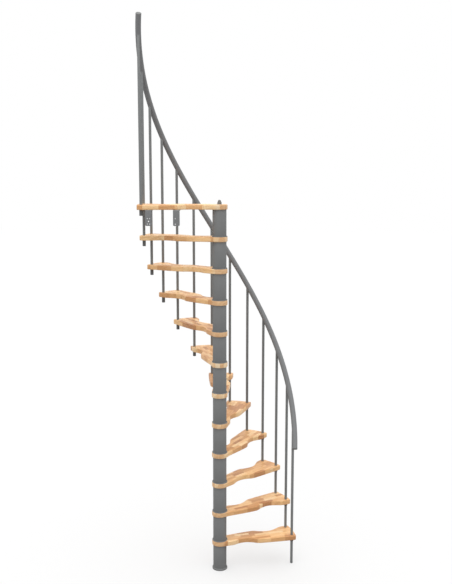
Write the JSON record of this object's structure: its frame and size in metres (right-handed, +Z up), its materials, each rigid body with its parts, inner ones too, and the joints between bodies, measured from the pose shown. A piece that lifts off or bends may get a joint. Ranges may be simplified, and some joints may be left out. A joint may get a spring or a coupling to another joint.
{
  "type": "space-saving spiral staircase",
  "caption": "Narrow spiral stair: wave-cut wooden treads round a grey steel column, thin steel balusters and a helical round handrail.",
  "frame": {"origin": "the column's centre at the underside of the base plate, on the lower floor", "axes": "+Z up along the column, -X along the landing tread, -Y towards the upper floor that the landing brackets bolt to"},
  "size_m": [1.184, 0.7538, 4.1211],
  "materials": {
    "column_coat": "matt grey powder coat",
    "baluster_coat": "matt grey powder coat",
    "fitting_coat": "matt dark grey powder coat",
    "rail_coat": "matt grey powder coat",
    "plug_plastic": "moulded grey plastic",
    "bracket_coat": "matt grey powder coat",
    "nut_coat": "matt grey powder coat",
    "rod_steel": "zinc-plated threaded rod",
    "tread_wood": "clear-varnished finger-jointed hardwood"
  },
  "bodies": {
    "root": {"base_plate": "column_coat", "centre_rod": "rod_steel", "tread_01": "tread_wood", "tread_02": "tread_wood", "tread_03": "tread_wood", "tread_04": "tread_wood", "tread_05": "tread_wood", "tread_06": "tread_wood", "tread_07": "tread_wood", "tread_08": "tread_wood", "tread_09": "tread_wood", "tread_10": "tread_wood", "tread_11": "tread_wood", "tread_12": "tread_wood", "spacer_tube_01": "column_coat", "spacer_tube_02": "column_coat", "spacer_tube_03": "column_coat", "spacer_tube_04": "column_coat", "spacer_tube_05": "column_coat", "spacer_tube_06": "column_coat", "spacer_tube_07": "column_coat", "spacer_tube_08": "column_coat", "spacer_tube_09": "column_coat", "spacer_tube_10": "column_coat", "spacer_tube_11": "column_coat", "spacer_tube_12": "column_coat", "column_rings": "column_coat", "top_nut": "nut_coat", "baluster_00": "baluster_coat", "baluster_01": "baluster_coat", "baluster_02": "baluster_coat", "baluster_03": "baluster_coat", "baluster_04": "baluster_coat", "baluster_05": "baluster_coat", "baluster_06": "baluster_coat", "baluster_07": "baluster_coat", "baluster_08": "baluster_coat", "baluster_09": "baluster_coat", "baluster_10": "baluster_coat", "baluster_11": "baluster_coat", "baluster_12": "baluster_coat", "baluster_fittings": "fitting_coat", "handrail": "rail_coat", "handrail_plugs": "plug_plastic", "landing_brackets": "bracket_coat"}
  },
  "joints": []
}
